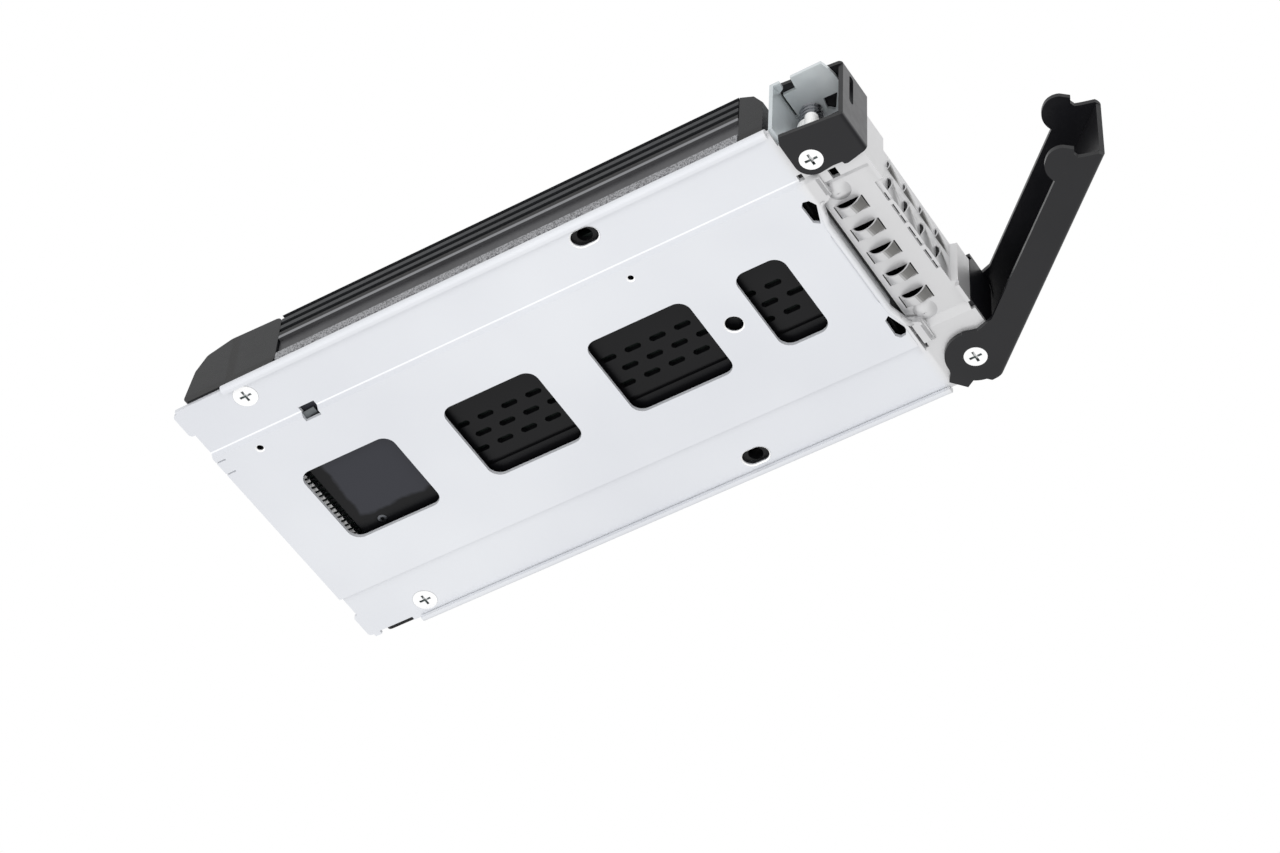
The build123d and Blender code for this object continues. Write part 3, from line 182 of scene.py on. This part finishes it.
class Material(NodeTree):
    """A material with one Principled shader, whose patterns follow the place on the part."""

    def __init__(self, name, colour, metallic, roughness):
        self.material = bpy.data.materials.new(name)
        self.material.use_nodes = True
        super().__init__(self.material.node_tree)
        self.shader = self.tree.nodes["Principled BSDF"]
        self.set("Base Color", colour)
        self.set("Metallic", metallic)
        self.set("Roughness", roughness)
        self.place = self.add("ShaderNodeTexCoord").outputs["Object"]

    def set(self, name, value):
        self.feed(self.shader.inputs[name], value)

    def axis(self, letter):
        """Place on the part along one axis."""
        return self.add("ShaderNodeSeparateXYZ", Vector=self.place).outputs[letter]

    def normal(self, letter):
        """How far the surface faces along one axis of the scene."""
        facing = self.add("ShaderNodeNewGeometry").outputs["True Normal"]
        return self.add("ShaderNodeSeparateXYZ", Vector=facing).outputs[letter]

    def noise(self, scale, detail=3, stretch=(1, 1, 1)):
        mapped = self.add("ShaderNodeMapping", Vector=self.place, Scale=stretch).outputs["Vector"]
        node = self.add("ShaderNodeTexNoise", Vector=mapped, Scale=scale, Detail=detail)
        return node.outputs["Fac"]

    def clouds(self, scale):
        """Broad soft patches from 0 to 1."""
        return self.span(self.noise(scale), *CLOUD_RANGE, 0, 1)

    def roughen(self, grain, low, high):
        """Roughness that varies with a grain."""
        self.set("Roughness", self.span(grain, *GRAIN_RANGE, low, high))

    def bump(self, grain, strength, depth):
        """Fine relief whose depth is in millimetres."""
        node = self.add("ShaderNodeBump", Height=grain, Strength=strength, Distance=depth * MM)
        self.set("Normal", node.outputs["Normal"])


# Materials

def louvre_shade(made, polish):
    """How much painted shade darkens a louvre's bowed strip, which is where it faces both forward and
    down.
    """
    bow = made.times(made.normal("X"), made.normal("Z"))
    bowed = made.times(made.span(bow, *BOW_RANGE, 1, 0), polish)
    on_wall = made.rise(made.axis("Z"), WALL_BEND_TOP)
    on_panel = made.fall(made.axis("X"), BEND_START)
    across = made.maths("ABSOLUTE", made.axis("Y"))
    between_dimples = made.fall(across, LOUVRE_REACH)
    return made.times(bowed, between_dimples, made.maths("MAXIMUM", on_wall, on_panel))


def tray_material():
    """Silver-grey coated sheet with a painted highlight along the fold line, a barer, brushed front, and
    painted shade on the louvres' bowed strips.
    """
    made = Material("tray_sheet", linear(226, 228, 233), 0.3, 0.36)
    along = made.axis("X")
    across = made.axis("Y")
    broad = made.clouds(18)
    coat = made.blend(broad, linear(209, 211, 216), linear(218, 220, 224))
    # Painted highlight along the fold line, paler than the coat
    fold_highlight = made.times(made.rise(across, FOLD_OUTER), made.fall(across, FOLD_INNER))
    coat = made.blend(fold_highlight, coat, linear(240, 241, 243))
    polish = made.rise(along, BRUSHED_START)
    bare = made.blend(broad, linear(209, 209, 210), linear(219, 219, 220))
    # Painted shade on the louvres' bowed strips, grey in place of the bare metal
    bare = made.blend(louvre_shade(made, polish), bare, linear(136, 135, 133))
    made.set("Base Color", made.blend(made.rise(along, FRONT_START), coat, bare))
    made.roughen(made.noise(900, stretch=(0.15, 1, 1)), 0.30, 0.42)
    made.set("Metallic", made.span(polish, 0, 1, 0.12, 0.6))
    made.bump(made.noise(5200, detail=2), strength=0.1, depth=0.03)
    return made.material


def black_coat(name, colour):
    """Semi-gloss black coating, to which the caller gives its pattern of colour."""
    made = Material(name, colour, 0.0, 0.34)
    made.roughen(made.noise(600), 0.28, 0.4)
    made.set("Specular IOR Level", 0.4)
    made.bump(made.noise(2600), strength=0.2, depth=0.04)
    return made


def black_material():
    made = black_coat("black_coat", linear(23, 23, 26))
    made.set("Base Color", made.blend(made.clouds(40), linear(15, 15, 18), linear(23, 23, 26)))
    return made.material


def latch_material():
    """The black coating, with a painted sheen that makes it paler where the latch's face looks straight
    forward.
    """
    made = black_coat("latch_coat", linear(20, 20, 23))
    # Painted sheen on the face that looks forward
    forward_face_sheen = made.span(made.normal("X"), *LATCH_FORWARD, 0, 1)
    made.set("Base Color", made.blend(forward_face_sheen, linear(20, 20, 23), linear(72, 72, 74)))
    return made.material


def metal(name, colour, roughness):
    """Plain metal with a fine even grain."""
    made = Material(name, colour, 1.0, roughness)
    grain = made.noise(1200)
    made.roughen(grain, roughness - 0.06, roughness + 0.08)
    made.bump(grain, strength=0.1, depth=0.03)
    return made.material


def screw_material(name, head_level):
    """Bright plating with a cross recess, above the level of the head's face, darkened by painted shade
    and patina.
    """
    made = Material(name, linear(250, 250, 250), 0.35, 0.3)
    height = made.axis("Z")
    facing = made.normal("Z")
    # Painted shade and patina in the cross recess
    inside = made.times(made.rise(height, (head_level, RECESS_MOUTH_BLUR)),
                        made.fall(height, (head_level + RECESS_DEPTH, RECESS_END_BLUR)))
    steep = made.span(facing, *RECESS_STEEP, 0, 1)
    tilted = made.span(facing, *RECESS_TILTED, 0, TILTED_SHADE)
    shade = made.times(inside, made.maths("MAXIMUM", steep, tilted))
    recess_shade_and_patina = made.blend(made.noise(2200, detail=2), linear(24, 52, 48), linear(130, 142, 142))
    made.set("Base Color", made.blend(shade, linear(250, 250, 250), recess_shade_and_patina))
    made.roughen(made.noise(900, detail=2), 0.24, 0.36)
    return made.material


def zinc_material():
    made = Material("zinc_plate", linear(212, 217, 220), 0.45, 0.34)
    made.set("Base Color", made.blend(made.clouds(120), linear(200, 207, 210), linear(222, 227, 229)))
    made.roughen(made.noise(900), 0.28, 0.4)
    return made.material


def plastic(name, colour, roughness):
    """Plain moulded or coated surface with a faint grain."""
    made = Material(name, colour, 0.0, roughness)
    made.roughen(made.noise(300), roughness - 0.05, roughness + 0.05)
    made.bump(made.noise(2000), strength=0.15, depth=0.04)
    return made.material


def contact_material():
    """Tin solder tails at the connector, painted pure white as a highlight, dark along the rest of each
    contact.
    """
    made = Material("contact_tin", linear(255, 255, 255), 0.0, 0.25)
    # Pure white tails stand in for the highlight on the tin
    dark = made.rise(made.axis("X"), TAIL_END)
    made.set("Base Color", made.blend(dark, linear(255, 255, 255), linear(10, 10, 12)))
    return made.material


def cover_material():
    """Black coating with a paler worn patch, whose outline wanders, under the rear window."""
    made = Material("cover_coat", linear(12, 12, 14), 0.0, 0.3)
    coat = made.blend(made.noise(40), linear(8, 8, 10), linear(16, 16, 18))
    centred = made.maths("SUBTRACT", made.noise(260, detail=4), 0.5)
    wander = made.times(centred, PATCH_WANDER)
    along = made.maths("ADD", made.axis("X"), wander)
    across = made.maths("ADD", made.axis("Y"), wander)
    patch = made.times(made.rise(along, PATCH_REAR), made.fall(along, PATCH_AHEAD),
                       made.fall(across, PATCH_SIDE))
    made.set("Base Color", made.blend(patch, coat, linear(48, 49, 55)))
    made.set("Specular IOR Level", 0.22)
    made.bump(made.noise(2600), strength=0.15, depth=0.04)
    return made.material


def housing_material():
    """Black extrusion with a painted highlight on the fin edges and the ledge, a paler side recess,
    painted shade on the faces turned down, and a bare speckled strip low down.
    """
    made = Material("housing", linear(30, 30, 32), 0.35, 0.4)
    height = made.axis("Z")
    across = made.maths("ABSOLUTE", made.axis("Y"))
    side = made.rise(across, SIDE_FACE)
    broad = made.clouds(60)
    smooth = made.blend(broad, linear(74, 74, 76), linear(86, 86, 88))
    black = made.blend(broad, linear(16, 16, 18), linear(24, 24, 26))
    recess = made.times(made.fall(height, LEDGE_BOTTOM), made.rise(across, SIDE_RECESS))
    black = made.blend(recess, black, smooth)
    # Painted highlight on the fins' edges
    fin_edge_highlight = made.times(side, made.rise(height, FIN_BOTTOM), FIN_EDGE_SHARE)
    black = made.blend(fin_edge_highlight, black, linear(66, 68, 71))
    # Painted highlight along the ledge
    ledge_highlight = made.times(side, made.rise(height, LEDGE_BOTTOM), made.fall(height, LEDGE_TOP))
    black = made.blend(ledge_highlight, black, linear(128, 129, 132))
    # Painted shade on the faces turned down, under the housing
    facing_down = made.span(made.normal("Z"), *FACING_DOWN, 1, 0)
    underside_shade = made.times(facing_down, made.fall(across, SIDE_RECESS))
    black = made.blend(underside_shade, black, linear(8, 8, 9))
    strip = made.times(made.fall(height, STRIP_TOP), side)
    speckle = made.span(made.noise(3400), *SPECKLE_RANGE, 0, 1)
    bare = made.blend(speckle, linear(156, 157, 160), linear(84, 84, 87))
    made.set("Base Color", made.blend(strip, black, bare))
    made.set("Metallic", made.span(strip, 0, 1, 0.35, 0.15))
    made.roughen(made.noise(800, detail=2), 0.34, 0.46)
    made.bump(made.noise(2400, detail=2), strength=0.2, depth=0.05)
    return made.material


def cap_material():
    """Dark satin end cap with a painted dark reflection band near the rear and a darker low edge."""
    made = Material("end_cap", linear(33, 34, 36), 0.2, 0.28)
    along = made.axis("X")
    coat = made.blend(made.clouds(70), linear(22, 23, 25), linear(28, 29, 31))
    # Painted dark reflection across the glossy cap near the rear
    reflection_band = made.times(made.rise(along, BAND_REAR), made.fall(along, BAND_AHEAD))
    coat = made.blend(reflection_band, coat, linear(12, 12, 13))
    low_edge = made.fall(made.axis("Z"), CAP_LOW_EDGE)
    made.set("Base Color", made.blend(low_edge, coat, linear(12, 12, 14)))
    made.set("Specular IOR Level", 0.4)
    made.roughen(made.noise(900), 0.24, 0.34)
    made.bump(made.noise(2200), strength=0.12, depth=0.05)
    return made.material


TRAY = tray_material()
BLACK = black_material()
LATCH = latch_material()
DRIVE_SCREW = screw_material("drive_screw_plate", DRIVE_HEAD_LEVEL)
PIVOT_SCREW = screw_material("pivot_screw_plate", PIVOT_HEAD_LEVEL)
SMALL_SCREW = metal("small_screw", linear(120, 122, 126), 0.3)
ZINC = zinc_material()
POST = metal("post_steel", linear(178, 180, 184), 0.3)
SPRING = metal("spring_wire", linear(132, 134, 138), 0.26)
HOUSING = housing_material()
CAP = cap_material()
COVER = cover_material()
HUB = plastic("white_hub", linear(254, 254, 253), 0.32)
BOARD = plastic("board_mask", linear(14, 20, 18), 0.3)
# Black film, which inside the front also stands in for the shade behind the openings
FILM = plastic("black_film", linear(26, 26, 28), 0.4)
CHIP = plastic("chip_mould", linear(28, 28, 30), 0.45)
PAD = plastic("gap_pad", linear(130, 142, 162), 0.7)
CAPACITOR = plastic("capacitor_mould", linear(206, 158, 52), 0.35)
CONNECTOR = plastic("connector_mould", linear(26, 26, 28), 0.38)
CONTACT = contact_material()
# Pure white painted highlight for the edges inside the holes
RIM_HIGHLIGHT = plastic("cut_edge_highlight", linear(255, 255, 255), 0.35)
# The lanced tongue is the tray's own sheet, painted darker grey as the shade inside its hole
TONGUE_SHADED = metal("tongue_sheet_shaded", linear(124, 128, 130), 0.4)

node_materials = {
    "tray": TRAY, "lever": BLACK, "release_latch": LATCH, "lever_bracket": BLACK,
    "lever_post": POST, "latch_post": POST, "lever_screw": PIVOT_SCREW,
    "latch_screw": PIVOT_SCREW, "cover_screw": SMALL_SCREW, "front_insulator": FILM,
    "drive_screws": DRIVE_SCREW, "latch_hub": HUB, "latch_spring": SPRING, "latch_bracket": ZINC,
    "heatsink": HOUSING, "rear_cap": CAP, "front_cap": CAP, "bottom_cover": COVER,
    "circuit_board": BOARD, "memory_chips": CHIP, "controller_chip": CHIP, "thermal_pads": PAD,
    "capacitors": CAPACITOR, "connector_housing": CONNECTOR, "connector_pins": CONTACT}
for name, material in node_materials.items():
    shown = nodes[name]
    shown.data.materials.clear()
    shown.data.materials.append(material)


# Small bevels, with their widths in millimetres

BEVEL_ANGLE = 0.9
BEVEL_SEGMENTS = 2
bevel_widths = {"tray": 0.12, "lever": 0.16, "release_latch": 0.16, "lever_bracket": 0.12,
                "latch_bracket": 0.1, "heatsink": 0.12, "rear_cap": 0.2, "front_cap": 0.2,
                "bottom_cover": 0.08}
for name, width in bevel_widths.items():
    bevel = nodes[name].modifiers.new("edge", "BEVEL")
    bevel.width = width * MM
    bevel.segments = BEVEL_SEGMENTS
    bevel.limit_method = "ANGLE"
    bevel.angle_limit = BEVEL_ANGLE
    bevel.harden_normals = True


# Thin trim that only the scene has, in millimetres

# Which way a sheet's thickness grows from its face
ALONG_NORMAL = 1
AGAINST_NORMAL = -1

LIP_PATH = [(61.3, -16.7), (60.4, -15.7), (59.2, -11.5), (59.2, 11.5), (60.4, 15.7), (61.3, 16.7)]
LIP_PROFILE = [(-0.5, 0.1), (-0.35, -0.06), (0, -0.12), (0.3, -0.06), (0.5, 0.25), (0.55, 0.9)]
LIP_THICKNESS = 0.1

RIM_STEPS = 32
RIM_STAND = 0.01
RIM_REACH = 0.22
RIM_DEPTH = 0.3
RIM_THICKNESS = 0.05
CENTRE_LEVEL = 0
SIDE_STRIP_LEVEL = 0.95
SLOT_LENGTH = 6.0
SLOT_WIDTH = 4.2
SLOT_ALONG = 18.75
SLOT_ACROSS = 30.86
SLOT_HALF = (SLOT_LENGTH - SLOT_WIDTH) / 2
SLOT_RADIUS = SLOT_WIDTH / 2
# Name, centre, half of a slot's straight length, radius, and level of the sheet's lower face
HOLES = [("round_hole_rim", (32.45, 0), 0, 2.0, CENTRE_LEVEL),
         ("rear_hole_rim", (-63.35, -19.3), 0, 0.9, CENTRE_LEVEL),
         ("front_hole_rim", (21.45, -19.0), 0, 0.8, CENTRE_LEVEL),
         ("catch_slot_rim", (SLOT_ALONG, -SLOT_ACROSS), SLOT_HALF, SLOT_RADIUS, SIDE_STRIP_LEVEL),
         ("lever_slot_rim", (SLOT_ALONG, SLOT_ACROSS), SLOT_HALF, SLOT_RADIUS, SIDE_STRIP_LEVEL)]

FLAP_REAR = 60.7
FLAP_AHEAD = 70.4
FLAP_SIDE = 17.3
FLAP_LOW = 4.4
FLAP_TOP = 12.2
FLAP_THICKNESS = 0.25
FLAP_CORNERS = [(FLAP_REAR, FLAP_SIDE, FLAP_LOW), (FLAP_AHEAD, FLAP_SIDE, FLAP_LOW),
                (FLAP_AHEAD, FLAP_SIDE, FLAP_TOP), (FLAP_REAR, FLAP_SIDE, FLAP_TOP)]

TONGUE_REAR = -52.2
TONGUE_AHEAD = -48.9
TONGUE_OUTER = -22.1
TONGUE_INNER = -19.6
TONGUE_REAR_LEVEL = 1.05
TONGUE_AHEAD_LEVEL = 1.5
TONGUE_THICKNESS = 0.25
TONGUE_CORNERS = [(TONGUE_REAR, TONGUE_OUTER, TONGUE_REAR_LEVEL),
                  (TONGUE_AHEAD, TONGUE_OUTER, TONGUE_AHEAD_LEVEL),
                  (TONGUE_AHEAD, TONGUE_INNER, TONGUE_AHEAD_LEVEL),
                  (TONGUE_REAR, TONGUE_INNER, TONGUE_REAR_LEVEL)]


def square(name, corners):
    """Mesh of one four-cornered face."""
    mesh = bpy.data.meshes.new(name)
    mesh.from_pydata(corners, [], [(0, 1, 2, 3)])
    return mesh


def lofted(name, rows, closed):
    """Mesh of four-cornered faces between rows of points, each row open or closed to a ring."""
    count = len(rows[0])
    faces = []
    for row in range(len(rows) - 1):
        for at in range(count if closed else count - 1):
            after = (at + 1) % count
            near = row * count
            far = near + count
            faces.append((near + at, near + after, far + after, far + at))
    mesh = bpy.data.meshes.new(name)
    mesh.from_pydata([point for row in rows for point in row], [], faces)
    return mesh


def add_object(mesh):
    shown = bpy.data.objects.new(mesh.name, mesh)
    bpy.context.collection.objects.link(shown)
    return shown


def thicken(mesh, thickness, offset, material):
    """Show a mesh as a thin sheet that grows along or against its normal, fixed to the caddy."""
    mesh.materials.append(material)
    piece = add_object(mesh)
    thick = piece.modifiers.new("thick", "SOLIDIFY")
    thick.thickness = thickness * MM
    thick.offset = offset
    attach(piece, "caddy")


def ring(centre, half_length, radius, level):
    """Points round a slot or hole."""
    points = []
    for step in range(RIM_STEPS):
        angle = 2 * pi * (step + 0.5) / RIM_STEPS
        end = half_length if cos(angle) > 0 else -half_length
        points.append(Vector((centre[0] + end + radius * cos(angle),
                              centre[1] + radius * sin(angle), level)) * MM)
    return points


def lip_rim():
    """Rounded bead along the edge where the floor turns up behind the louvres."""
    rows = [[Vector((x + offset, y, z)) * MM for offset, z in LIP_PROFILE] for x, y in LIP_PATH]
    mesh = lofted("lip_rim", rows, closed=False)
    for face in mesh.polygons:
        face.use_smooth = True
    thicken(mesh, LIP_THICKNESS, AGAINST_NORMAL, TRAY)


def hole_rim(name, centre, half_length, radius, level):
    """Slanted edge just inside a hole in the tray's underside, painted pure white as a highlight."""
    rows = [ring(centre, half_length, radius, level - RIM_STAND),
            ring(centre, half_length, radius - RIM_REACH, level + RIM_DEPTH)]
    thicken(lofted(name, rows, closed=True), RIM_THICKNESS, ALONG_NORMAL, RIM_HIGHLIGHT)


def flat_piece(name, corners, thickness, material):
    mesh = square(name, [Vector(corner) * MM for corner in corners])
    thicken(mesh, thickness, AGAINST_NORMAL, material)


lip_rim()
for hole in HOLES:
    hole_rim(*hole)
# Black film flap inside the front, standing in for the shade behind the openings
flat_piece("shade_film_flap", FLAP_CORNERS, FLAP_THICKNESS, FILM)
# Lanced tongue, painted in shade
flat_piece("lanced_tongue", TONGUE_CORNERS, TONGUE_THICKNESS, TONGUE_SHADED)


# Camera at the photograph's viewing angle

CAMERA_PLACE = Vector((271.0, -370.5, -542.4)) * MM
CAMERA_RIGHT = Vector((0.8478, 0.5285, 0.0444))
CAMERA_FORWARD = Vector((-0.3733, 0.5352, 0.7578))
LENS_MM = 104.83
SENSOR_MM = 36
CLIP_START = 0.01

forward = CAMERA_FORWARD.normalized()
right = (CAMERA_RIGHT - forward * CAMERA_RIGHT.dot(forward)).normalized()
up = right.cross(forward)
turn = Matrix((right, up, -forward)).transposed()
camera_data = bpy.data.cameras.new("camera")
camera_data.lens = LENS_MM
camera_data.sensor_width = SENSOR_MM
camera_data.sensor_fit = "HORIZONTAL"
camera_data.clip_start = CLIP_START
camera = bpy.data.objects.new("camera", camera_data)
camera.matrix_world = Matrix.Translation(CAMERA_PLACE) @ turn.to_4x4()
bpy.context.collection.objects.link(camera)
bpy.context.scene.camera = camera


# Floor, soft studio light from both sides, and surroundings, in metres and watts

FLOOR_HALF = 6.0
FLOOR_DROP = 0.05 * MM
FADE_START = 0.3
FADE_END = 1.4
# Direction of the darker zone in the surroundings
DARK_ZONE = (0.74, 0.45, -0.35)
# Where that zone starts and is full, by cosine, and the light at each
DARK_RANGE = (0.6, 0.9, 0.85, 0.55)


def floor():
    """Pale floor, clear from below and fading outward, that leaves no light or shadow on the part."""
    made = Material("floor", linear(220, 220, 219), 0.0, 0.8)
    faded = made.span(made.vector_value("LENGTH", made.place), FADE_START, FADE_END, 0, 1)
    below = made.add("ShaderNodeNewGeometry").outputs["Backfacing"]
    clear = made.add("ShaderNodeBsdfTransparent").outputs[0]
    made.surface("Material Output", made.maths("MAXIMUM", below, faded), made.shader.outputs[0], clear)
    half = FLOOR_HALF
    mesh = square("floor", [(-half, -half, 0), (half, -half, 0), (half, half, 0), (-half, half, 0)])
    mesh.materials.append(made.material)
    plane = add_object(mesh)
    plane.location.z = -FLOOR_DROP
    plane.visible_diffuse = False
    plane.visible_glossy = False
    plane.visible_transmission = False
    plane.visible_shadow = False


def softbox(name, place, target, size, watts):
    """Square soft light aimed at a target, seen neither directly nor in reflections."""
    data = bpy.data.lights.new(name, "AREA")
    data.size = size
    data.energy = watts
    light = bpy.data.objects.new(name, data)
    light.location = Vector(place)
    aim = Vector(target) - light.location
    light.rotation_euler = aim.to_track_quat("-Z", "Y").to_euler()
    light.visible_camera = False
    light.visible_glossy = False
    bpy.context.collection.objects.link(light)


def world():
    """Even white studio light with a darker zone low ahead, and a plain white background."""
    studio = bpy.data.worlds.new("studio")
    studio.use_nodes = True
    made = NodeTree(studio.node_tree)
    around = made.add("ShaderNodeTexCoord").outputs["Generated"]
    facing = made.vector_value("DOT_PRODUCT", around, Vector(DARK_ZONE).normalized())
    ambient = made.tree.nodes["Background"]
    made.feed(ambient.inputs["Color"], WHITE)
    made.feed(ambient.inputs["Strength"], made.span(facing, *DARK_RANGE, "SMOOTHSTEP"))
    backdrop = made.add("ShaderNodeBackground", Color=WHITE, Strength=1.0)
    direct = made.add("ShaderNodeLightPath").outputs["Is Camera Ray"]
    made.surface("World Output", direct, ambient.outputs[0], backdrop.outputs[0])
    bpy.context.scene.world = studio


floor()
world()
softbox("key_below", place=(-0.35, -0.35, -0.85), target=(0, 0, 0), size=1.2, watts=5.0)
softbox("front_below", place=(0.7, -0.5, -0.5), target=(0.07, 0, 0), size=0.5, watts=2.2)
softbox("top", place=(0.2, 0.1, 0.9), target=(0, 0, 0), size=0.9, watts=7.0)
bpy.context.scene.view_settings.view_transform = "Standard"
bpy.context.scene.view_settings.look = "None"
